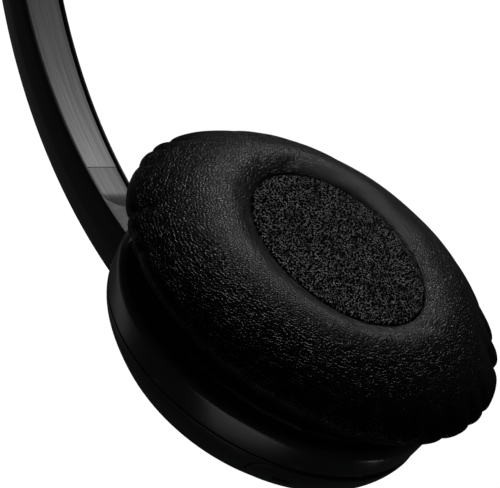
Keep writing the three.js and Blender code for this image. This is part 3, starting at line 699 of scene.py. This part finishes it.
def arm_inlay(side):
    start = POCKET_FOOT + GAP / ARM_R
    rings = []
    steps = 60
    for i in range(steps + 1):
        angle = mix(start, BAND_END - 0.08 / ARM_R, (i / steps) ** 1.7)
        half = max(0.35, pocket_half(angle - GAP / ARM_R) - GAP)
        dip = 0.55 * (1 - ease((angle - start) * ARM_R / 3.0))
        section = strip_section(half, STEEL_SUNK + 0.06 + dip, 0.7, 0.14)
        rings.append([arm_point(angle, d, y) for y, d in section])
    strip = sweep(f"arm_strip_{side}", rings, ARM[side], sharp=50)
    return settle(strip, STRIP_LOW, f"arm_{side}", "band_steel", f"arm_inlay_{side}")


# ------------------------------------------------------------------ yoke
def yoke(side):
    to_cup = CUP["left"].inverted() @ ARM["left"]

    def in_cup(angle, depth):
        p = to_cup @ (arm_point(angle, depth, 0) * MM)
        return Vector((p.y, p.z)) / MM

    foot = ARM_FOOT - GAP / ARM_R
    half_top = arm_width(ARM_FOOT) / 2
    inner = [in_cup(foot, 0), (29.3, -18.9), (25, -20.9), (20.5, -22.9), (15, PLATE_IN), (6, PLATE_IN),
             (0, PLATE_IN), (-2.4, PLATE_IN), (-4.2, PLATE_IN), (-PLATE_HALF, PLATE_IN)]
    outer = [in_cup(foot, arm_depth(ARM_FOOT)), (27.6, -27.2), (24, -27.5), (20, -27.4), (15, -27.1),
             (6, PLATE_OUT), (0, PLATE_OUT), (-2.4, PLATE_OUT), (-4.2, PLATE_OUT + 0.2),
             (-PLATE_HALF, PLATE_OUT + 0.5)]
    halves = [half_top, half_top, half_top + 0.1, half_top + 0.3, PLATE_HALF - 0.3, PLATE_HALF, PLATE_HALF,
              PLATE_HALF * 0.88, PLATE_HALF * 0.56, PLATE_HALF * 0.2]
    rings = []
    steps = 7
    for i in range(len(inner) - 1):
        for s in range(steps if i < len(inner) - 2 else steps + 1):
            t = s / steps

            def spline(values):
                v0, v1 = values[max(0, i - 1)], values[i]
                v2, v3 = values[i + 1], values[min(len(values) - 1, i + 2)]
                return 0.5 * (2 * v1 + (v2 - v0) * t + (2 * v0 - 5 * v1 + 4 * v2 - v3) * t * t
                              + (3 * v1 - v0 - 3 * v2 + v3) * t ** 3)

            a = Vector((spline([p[0] for p in inner]), spline([p[1] for p in inner])))
            b = Vector((spline([p[0] for p in outer]), spline([p[1] for p in outer])))
            half = spline(halves)
            corners = [(-1, 0), (1, 0), (1, 0.61, 0.05), (0.88, 1), (-0.88, 1), (-1, 0.61, 0.05)]
            section = rounded(corners, 0.1, 2)
            rings.append([Vector((y * half, *(a + (b - a) * d))) for y, d in section])
    body = sweep(f"yoke_arm_{side}", rings, CUP[side], sharp=30)
    settle(body, SHELL, f"swivel_{side}", "shell_plastic", f"yoke_{side}")
    profile = rounded([
        (0, PLATE_OUT - 0.2), (1.0, PLATE_OUT - 0.2, 0.12), (1.0, HUB_IN, 0.05), (0, HUB_IN),
    ], 0.1, 4, closed=False)
    hub = lathe(f"yoke_hub_{side}", profile, 72, CUP[side], lambda x, y, z: (x * 10.2, y * 6.1, z))
    settle(hub, SHELL_FINE, f"swivel_{side}", "shell_plastic")
    profile = [(1.55, -4.6), (2.7, -4.6), (2.9, -4.3), (2.9, 4.3), (2.7, 4.6), (1.55, 4.6)]
    eye = lathe(f"yoke_eye_{side}", profile, 36, CUP[side], lambda x, y, z: (z, x, y + TILT_N))
    settle(eye, SHELL_FINE, f"swivel_{side}", "shell_plastic")


# ------------------------------------------------------------------ cup
def bowl_point(angle, tube, height):
    r = BOWL_CIRCLE + (BOWL_TUBE + height) * math.cos(tube)
    return Vector((r * math.sin(angle), -r * math.cos(angle), BOWL_N - (BOWL_TUBE + height) * math.sin(tube)))


def bar_patch(name, place, grow, low, high, edge=0.12, steps=64, rows=10, crown=0.0):
    """A stadium-shaped patch that follows the bowl's rim."""
    half_length, half_height = BAR_LENGTH / 2 + grow, BAR_HEIGHT / 2 + grow
    rim = BOWL_CIRCLE + BOWL_TUBE * math.cos(BAR_ANGLE)
    rings = []
    for i in range(steps + 1):
        s = -math.cos(math.pi * i / steps) * half_length
        past = abs(s) - (half_length - half_height)
        reach = math.sqrt(max(0.01, half_height ** 2 - past ** 2)) if past > 0 else half_height
        shares = [-1 + 2 * j / rows for j in range(rows + 1)]
        soft = min(1.0, reach / half_height + 0.05)
        ring = [(a * reach, high + crown * (1 - a * a) * soft) for a in shares]
        ring[0] = (-reach, high - edge)
        ring[-1] = (reach, high - edge)
        ring.insert(1, (-reach + edge * soft, high))
        ring.insert(-1, (reach - edge * soft, high))
        ring += [(reach, low), (-reach, low)]
        rings.append([bowl_point(s / rim, BAR_ANGLE + a / BOWL_TUBE, h) for a, h in ring])
    return sweep(name, rings, place, sharp=35)


def oval_rim(x, y, z):
    """The bowl widens to the frame's oval towards its rim."""
    share = ease((z - (SPLIT_N - 7.0)) / 7.0)
    k = FRAME_STRETCH * share
    grow = 1 + 0.012 * share
    return (x * (1 + k) * grow, y * (1 - k * 0.5) * grow, z)


def back_shell(side):
    split = math.asin((SPLIT_N - BOWL_N) / BOWL_TUBE)
    outer = [(BOWL_CIRCLE + BOWL_TUBE * math.cos(a), BOWL_N + BOWL_TUBE * math.sin(a))
             for a in (mix(-math.pi / 2, split, i / 40) for i in range(41))]
    inner = [(BOWL_CIRCLE + (BOWL_TUBE - WALL) * math.cos(a), BOWL_N + (BOWL_TUBE - WALL) * math.sin(a))
             for a in (mix(split, -math.pi / 2, i / 14) for i in range(15))]
    flat = [(r, BOWL_BACK) for r in (4, 8, 12)]
    inside = [(r, BOWL_BACK + WALL) for r in (11, 6)]
    shell = lathe(f"bowl_{side}", [(0, BOWL_BACK), *flat, *outer, *inner, *inside, (0, BOWL_BACK + WALL)],
                  168, CUP[side], oval_rim)
    tools = [bar_patch("tool_bar", CUP[side], GAP, -1.3, 3.0, 0.01)]
    hole = (4.5, BUTTON_U) if side == "left" else (2.9, HUB_U)
    tools.append(lathe("tool_hole", [(0, -26), (hole[0], -26), (hole[0], -17), (0, -17)], 48,
                       CUP[side] @ Matrix.Translation((0, hole[1] * MM, 0))))
    well = [(-9.9, -6.3), (9.9, -6.3), (9.9, 6.3), (-9.9, 6.3)]
    outline = rounded(well, 1.6, 6)
    heights = (-26, BOWL_BACK + WALL * 0.94)
    tools.append(sweep("tool_well", [[(x, y, z) for x, y in outline] for z in heights], CUP[side]))
    cut_away(shell, *tools)
    return settle(shell, SHELL, f"cup_{side}", "shell_plastic", f"back_shell_{side}")


def hinge_lugs(side):
    for k, s in enumerate((-1, 1)):
        profile = [(1.55, -1.6), (2.5, -1.6), (2.7, -1.4), (2.7, 1.4), (2.5, 1.6), (1.55, 1.6)]
        lug = lathe(f"hinge_lug_{side}_{k + 1}", profile, 36, CUP[side],
                    lambda x, y, z: (z + s * 7.1, x, y + TILT_N))
        settle(lug, SHELL_FINE, f"cup_{side}", "shell_plastic")


def front_frame(side):
    profile = rounded([
        (FRAME_R - 0.85, SPLIT_N + GAP, 0.12), (FRAME_R - 0.25, -6.6, 0.9), (FRAME_R + 0.05, -4.6, 0.9),
        (FRAME_R - 0.9, FRAME_FRONT, 0.7), (24.6, FRAME_FRONT, 0.3),
        (23.7, FRAME_FRONT - 0.5, 0.2), (23.7, -5.1, 0.1),
        (26.6, -5.1, 0.1), (26.6, SPLIT_N + GAP, 0.1),
    ], 0.3, 4)

    def oval(x, y, z):
        down = clamp((z - FRAME_FRONT) / (SPLIT_N + GAP - FRAME_FRONT))
        return (x * (1 + FRAME_STRETCH), y * (1 - FRAME_STRETCH * mix(1.0, 0.5, down)), z)

    ring = lathe(f"rim_{side}", profile, 168, CUP[side], oval, 30)
    return settle(ring, SHELL_FINE, f"cup_{side}", "shell_plastic", f"front_frame_{side}")


# ------------------------------------------------------------------ cushion
# From the back seam round the outside and over the crown to the opening's wall.
CUSHION_PROFILE = [
    (18.4, -1.3), (22.6, -1.4), (26.0, -1.35), (28.6, -0.2), (30.6, 1.0), (32.5, 2.2), (34.1, 3.5),
    (34.8, 4.9), (34.5, 6.0), (33.3, 7.2), (31.2, 9.1), (28.6, 11.0), (25.8, 12.6), (23.0, 13.6),
    (20.8, 13.95), (19.0, 13.85), (17.7, 13.6), (17.0, 13.25), (16.92, 12.6), (17.1, 9.0), (17.7, 3.0),
]
CUSHION_CORE = Vector((26.5, 5.0))
GATHERS = 27
GATHER_DEPTH = 1.25


def gathers(angle):
    """0 on a puff of the cover, 1 in the pinch between two of them."""
    spot = Vector((math.cos(angle), math.sin(angle), 0.37))
    t = angle * GATHERS / (2 * math.pi) + 1.1 * noise.noise(spot * 2.3)
    pinch = 1 - abs(math.sin(math.pi * t))
    strength = clamp(0.7 + 0.8 * noise.noise(spot * 3.1 + Vector((4, 1, 2))), 0.3, 1)
    return pinch ** 2.4 * strength


def cushion_oval(x, y, z):
    share = clamp((math.hypot(x, y) - PATCH_R) / (CUSHION_EDGE - PATCH_R))
    return Vector((x * mix(PATCH_NARROW, CUSHION_NARROW, share), y, z))


def ear_cushion(side):
    path = smooth_path([(r, n, 0) for r, n in CUSHION_PROFILE] + [(*CUSHION_PROFILE[0], 0)], 2)[:-1]
    count, segments = len(path), 216
    rings, pinned = [], {}
    for i in range(segments):
        angle = 2 * math.pi * i / segments
        pinch = gathers(angle)
        ring = []
        for j, p in enumerate(path):
            r, n = p.x, p.y
            outside = ease((r - 28.5) / 4.5) * (1 - ease((n - 6.0) / 5.0))
            outward = (Vector((r, n)) - CUSHION_CORE).normalized()
            wave = 0.10 * noise.noise(Vector((math.cos(angle) * r, math.sin(angle) * r, n)) * 0.16)
            gather = outward * (-GATHER_DEPTH * pinch * outside)
            r, n = r + gather.x + wave * outward.x, n + gather.y + wave * outward.y
            ring.append(cushion_oval(r * math.cos(angle), r * math.sin(angle), n))
            if n < -0.9 or r < 18.0:
                pinned[i * count + j] = 1.0
            elif pinch > 0.72 and outside > 0.5:
                pinned[i * count + j] = 0.5
        rings.append(ring)
    cushion = sweep(f"cushion_{side}", rings, CUP[side], sharp=180, looped=True)
    return cushion, pinned


def place_cushions():
    first, pinned = ear_cushion("left")
    swollen(first, pinned, 1.2, 0.0, 0.25, 14)
    subdivided(first)
    second = bpy.data.objects.new("cushion_right", first.data.copy())
    bpy.context.scene.collection.objects.link(second)
    second.matrix_world = CUP["right"]
    for obj, side in ((first, "left"), (second, "right")):
        settle(obj, LEATHER, f"cup_{side}", "leatherette", f"ear_cushion_{side}")


def knit_patch(side):
    """The fabric over the cushion's opening: nearly flat, a little uneven, with a rolled edge."""
    profile = [(0, 13.95), (4, 13.93), (8, 13.88), (12, 13.78), (15, 13.64), (16.4, 13.54), (16.8, 13.3),
               (16.8, 12.7), (16.3, 12.2), (12, 12.2), (6, 12.3), (0, 12.3)]
    curve = smooth_path([(r, n, 0) for r, n in profile], 3)
    flat = [(max(0, p.x), p.y) for p in curve]

    def uneven(x, y, z):
        return cushion_oval(x, y, z + 0.10 * noise.noise(Vector((x, y, 3)) * 0.22))

    patch = lathe(f"knit_patch_{side}", flat, 120, CUP[side], uneven, 180)
    settle(patch, KNIT, f"cup_{side}", "knit_mesh", f"cushion_mesh_{side}")
    return patch


# ------------------------------------------------------------------ controls and boom
def rim_frame(along):
    rim = BOWL_CIRCLE + BOWL_TUBE * math.cos(BAR_ANGLE)
    angle = along / rim
    out = (bowl_point(angle, BAR_ANGLE, 1) - bowl_point(angle, BAR_ANGLE, 0)).normalized()
    side = Vector((math.cos(angle), math.sin(angle), 0))
    basis = Matrix((side, out.cross(side), out)).transposed().to_4x4()
    return Matrix.Translation(bowl_point(angle, BAR_ANGLE, 0) * MM) @ basis


def stadium(half_length, radius, steps=12):
    points = []
    for k, start in ((1, -math.pi / 2), (-1, math.pi / 2)):
        for i in range(steps + 1):
            a = start + math.pi * i / steps
            points.append((k * (half_length - radius) + radius * math.cos(a), radius * math.sin(a)))
    return points


def capsule(name, place, half_length, radius, low, high, edge=0.15):
    rings = []
    for z, shrink in ((low, 0), (high - edge, 0), (high - edge * 0.3, edge * 0.3), (high, edge)):
        rings.append([(x, y, z) for x, y in stadium(half_length - shrink, radius - shrink)])
    return sweep(name, rings, place, sharp=35)


def volume_key():
    bar = bar_patch("volume_bar", CUP["left"], 0.0, -0.7, 0.35, 0.16, crown=0.12)
    settle(bar, SHELL_FINE, "volume_key", "shell_plastic", "volume_rocker")
    for k, along in enumerate((-12.5, 12.5)):
        mark = capsule(f"volume_mark_{k + 1}", CUP["left"] @ rim_frame(along), 1.6, 0.28, 0.25, 0.62, 0.08)
        settle(mark, BUTTON, "volume_key", "button_plastic")


def port_side():
    bezel = bar_patch("port_plate", CUP["right"], 0.0, -0.9, 0.3, 0.16)
    place = CUP["right"] @ rim_frame(0)
    tools = []
    for name, at, length, radius in (("tool_port", 0, 4.9, 2.0), ("tool_slot", 11.5, 3.4, 1.3)):
        outline = stadium(length, radius)
        rings = [[(x, y, z) for x, y in outline] for z in (-4, 3)]
        tools.append(sweep(name, rings, CUP["right"] @ rim_frame(at)))
    cut_away(bezel, *tools)
    settle(bezel, SHELL_FINE, "cup_right", "shell_plastic", "port_bezel")
    outer, inner = stadium(4.5, 1.6, 14), stadium(4.1, 1.25, 14)
    rings = [[(x, y, -6.0) for x, y in outer], [(x, y, -0.3) for x, y in outer],
             [(x * 0.96, y * 0.92, -0.2) for x, y in outer], [(x, y, -0.3) for x, y in inner],
             [(x, y, -5.2) for x, y in inner]]
    shield = sweep("socket_shield", rings, place, sharp=35)
    settle(shield, BRIGHT, "cup_right", "bright_steel", "charge_socket")
    tongue = capsule("socket_tongue", place, 3.3, 0.36, -5.2, -1.2, 0.1)
    settle(tongue, INNER, "cup_right", "inner_plastic")
    switch = CUP["right"] @ rim_frame(10.4)
    knob = capsule("power_knob", switch, 1.6, 1.0, -2.6, 0.7, 0.2)
    settle(knob, BUTTON, "power_key", "button_plastic", "power_switch")
    for k in range(3):
        aside = Matrix.Translation(((k - 1) * 0.8 * MM, 0, 0)) @ Matrix.Rotation(math.pi / 2, 4, "Z")
        rib = capsule(f"power_rib_{k + 1}", switch @ aside, 0.6, 0.14, 0.6, 0.84, 0.05)
        settle(rib, BUTTON, "power_key", "button_plastic")


def call_key():
    top = BOWL_BACK - 0.6
    profile = [(0, top + 0.25), (1.6, top + 0.18), (3.0, top + 0.02), (3.6, top), (4.05, top + 0.12),
               (4.2, top + 0.4), (4.2, -17.6), (0, -17.6)]
    place = CUP["left"] @ Matrix.Translation((0, BUTTON_U * MM, 0))
    key = lathe("call_key_cap", profile, 64, place)
    settle(key, BUTTON, "call_key", "button_plastic", "call_button")
    bead = [(0, top - 0.12), (0.5, top - 0.1), (0.62, top + 0.05), (0.62, top + 0.4), (0, top + 0.4)]
    dot = lathe("call_key_dot", bead, 28, place)
    settle(dot, BUTTON, "call_key", "button_plastic")


# Chosen in the right cup's axes, and the same as the CAD's.
BOOM_ROUTE = [(-3.6, -17.1, -23.1), (-14, -23.6, -23.2), (-34, -34.5, -23.4), (-58, -47, -21),
              (-82, -59.5, -13.5), (-101, -69.5, -3), (-112, -75.5, 5.5)]


def boom():
    place = CUP["right"] @ Matrix.Translation((0, HUB_U * MM, 0))
    front = BOWL_BACK - GAP
    profile = rounded([
        (0, front), (6.6, front, 0.2), (7, -21.4, 0.2), (7, -24.7, 0.6), (6.0, -25.6, 0.5),
        (3.5, -25.6, 0.15), (3.3, -25.3, 0.1), (3.3, -23.2, 0.05), (0, -23.2),
    ], 0.2, 4, closed=False)
    hub = lathe("boom_pivot", profile, 84, place)
    settle(hub, SHELL_FINE, "boom", "shell_plastic", "boom_hub")
    path = smooth_path(BOOM_ROUTE, 12)
    rings = []
    for i, p in enumerate(path):
        ahead = (path[min(i + 1, len(path) - 1)] - path[max(i - 1, 0)]).normalized()
        side = ahead.cross(Vector((0, 0, 1))).normalized()
        top = side.cross(ahead)
        ridge = 0.06 * math.sin(i * 2.1)
        radius = mix(2.2, 1.5, ease(i / 9)) + ridge * (1 - ease(i / 14))
        turns = [2 * math.pi * j / 20 for j in range(20)]
        rings.append([p + side * (radius * math.cos(a)) + top * (radius * math.sin(a)) for a in turns])
    tube = sweep("boom_arm", rings, CUP["right"], sharp=60)
    settle(tube, SLEEVE, "boom", "boom_sleeve", "boom_tube")
    end = Vector(BOOM_ROUTE[-1])
    aim = (end - Vector(BOOM_ROUTE[-2])).normalized()
    turn = Vector((0, 0, 1)).rotation_difference(aim).to_matrix().to_4x4()
    tip = CUP["right"] @ Matrix.Translation(end * MM) @ turn
    body = [(0, 0.3), (1.7, 0.3), (2.3, 0.5), (2.9, 1.3), (3.35, 2.4), (3.6, 4.6), (3.6, 12.0), (3.3, 12.9),
            (2.6, 13.6), (0, 13.9)]
    housing = lathe("mic_housing", body, 48, tip)
    settle(housing, SHELL, "boom", "shell_plastic", "mic_capsule")
    ball = [(3.95, 3.4), (4.6, 3.3), (5.3, 3.7), (6.2, 5.0), (6.7, 6.9), (6.8, 9.2), (6.6, 11.8), (5.9, 14.2),
            (4.6, 16.4), (2.6, 18.0), (0, 18.6)]
    inside = [(0, 14.3), (2.8, 14.1), (3.8, 12.9), (3.95, 9), (3.95, 5)]
    curve = smooth_path([(r, n, 0) for r, n in ball], 4)
    outline = [(p.x, p.y) for p in curve[:-1]]
    profile = [(0, 18.6), *reversed(outline), *reversed(inside[1:]), (0, 14.3)]

    def rough(x, y, z):
        k = 1 + 0.02 * noise.noise(Vector((x, y, z)) * 1.3) + 0.012 * noise.noise(Vector((x, y, z)) * 3.1)
        return (x * k, y * k, z)

    foam = lathe("mic_foam", profile, 72, tip, rough, 180)
    settle(foam, FOAM, "boom", "foam", "windscreen")
    key = [(0, -26.0), (1.4, -26.02), (2.3, -26.1), (2.8, -25.95), (3.0, -25.6), (3.0, -23.9), (0, -23.9)]
    mute = lathe("mute_key_cap", key, 48, place)
    settle(mute, BUTTON, "mute_key", "button_plastic", "mute_button")


# ------------------------------------------------------------------ the object
spring_band()
crown_cover()
crown_pad()
for side in SIDES:
    arm_shell(side)
    arm_inlay(side)
    yoke(side)
    back_shell(side)
    hinge_lugs(side)
    front_frame(side)
    knit_patch(side)
place_cushions()
volume_key()
call_key()
port_side()
boom()

# The CAD nodes that show as they are: material, and the width their edges are rounded by.
KEPT = {
    "crown_pad_base": (INNER, 0.25),
    "slide_shoe": (NYLON, 0.15),
    "detent_spring": (BRIGHT, 0.04),
    "swivel_pin": (BRIGHT, 0.15),
    "tilt_pin": (BRIGHT, 0.15),
    "baffle": (INNER, 0.2),
    "driver_frame": (INNER, 0.2),
    "driver_magnet": (FOIL, 0.2),
    "diaphragm": (FOIL, 0.05),
    "speaker_guard": (INNER, 0.15),
    "shell_screw": (BRIGHT, 0.12),
    "crown_screw": (BRIGHT, 0.12),
    "cushion_ring": (INNER, 0.2),
    "ear_foam": (FOAM, 0.3),
    "main_board": (BOARD, 0.08),
    "battery": (FOIL, 0.2),
    "mic_element": (BRIGHT, 0.15),
}
for name, node in frame["nodes"].items():
    if node.hide_render:
        continue
    stem = next(k for k in KEPT if name.startswith(k))
    material, edge = KEPT[stem]
    for i in range(len(node.data.materials)):
        node.data.materials[i] = material
    if not len(node.data.materials):
        node.data.materials.append(material)
    softened(node, edge)

# ------------------------------------------------------------------ camera, floor and light
scene = bpy.context.scene
# The photo's viewpoint, found by fitting a camera to outlines read off the photo, and rounded here.
CAMERA_TURN = (118.883, 25.462, 53.779)
CAMERA_FROM_CUP = (-0.007826, 0.010094, 0.658)
CAMERA_LENS = 292.3
turn = Euler([math.radians(a) for a in CAMERA_TURN]).to_matrix()
target = CUP["left"].translation
camera = bpy.data.objects.new("camera", bpy.data.cameras.new("camera"))
scene.collection.objects.link(camera)
camera.matrix_world = Matrix.Translation(target + turn @ Vector(CAMERA_FROM_CUP)) @ turn.to_4x4()
camera.data.sensor_width = 36
camera.data.lens = CAMERA_LENS
camera.data.clip_start, camera.data.clip_end = 0.01, 100
scene.camera = camera


def lamp(name, direction, distance, width, height, power):
    """A softbox, placed by its direction in the camera's own axes."""
    data = bpy.data.lights.new(name, "AREA")
    data.shape = "RECTANGLE"
    data.size, data.size_y = width, height
    data.energy = power
    obj = bpy.data.objects.new(name, data)
    scene.collection.objects.link(obj)
    towards = (turn @ Vector(direction)).normalized()
    obj.location = target + towards * distance
    obj.rotation_mode = "QUATERNION"
    obj.rotation_quaternion = towards.to_track_quat("Z", "Y")


lamp("key_softbox", (0.33, 0.87, -0.34), 0.9, 0.30, 0.32, 2.15)
lamp("side_softbox", (-0.75, 0.30, -0.60), 1.0, 0.3, 0.9, 0.32)
lamp("low_fill", (-0.25, -0.80, 0.52), 1.1, 1.1, 0.8, 3.2)
lamp("rim_strip", (0.50, -0.72, -0.48), 0.9, 0.06, 0.2, 0.3)

world = bpy.data.worlds.new("studio")
scene.world = world
world.use_nodes = True
tree = world.node_tree
shade = tree.nodes["Background"]
shade.inputs["Color"].default_value = (0.9, 0.95, 1.0, 1)
shade.inputs["Strength"].default_value = 0.02
white = tree.nodes.new("ShaderNodeBackground")
white.inputs["Color"].default_value = (1, 1, 1, 1)
white.inputs["Strength"].default_value = 1.05
path = tree.nodes.new("ShaderNodeLightPath")
both = tree.nodes.new("ShaderNodeMixShader")
tree.links.new(path.outputs["Is Camera Ray"], both.inputs["Fac"])
tree.links.new(shade.outputs[0], both.inputs[1])
tree.links.new(white.outputs[0], both.inputs[2])
tree.links.new(both.outputs[0], tree.nodes["World Output"].inputs["Surface"])
scene.view_settings.view_transform = "Standard"
scene.view_settings.look = "None"


def studio_floor():
    """A pale sheet well below the headset, bright by itself and without a part in the light on it."""
    half, low = 3000, cad_low.z * 1000 - 300
    steps = 24
    points, faces = [], []
    for i in range(steps + 1):
        for j in range(steps + 1):
            points.append((mix(-half, half, i / steps), mix(-half, half, j / steps), low))
    for i in range(steps):
        for j in range(steps):
            a = i * (steps + 1) + j
            faces.append((a, a + 1, a + steps + 2, a + steps + 1))
    floor = make("floor", points, faces)
    n = Nodes("floor_paper")
    slow = n.noise(n.place(), 3, 2)
    paper = n.ramp(slow, (0.3, 0.80), (0.7, 0.84))
    n.link(paper, "Base Color")
    n.link(paper, "Emission Color")
    n.set(Roughness=0.8, Emission_Strength=0.85)
    paint(floor, n.material)
    floor.visible_diffuse = floor.visible_glossy = False


studio_floor()
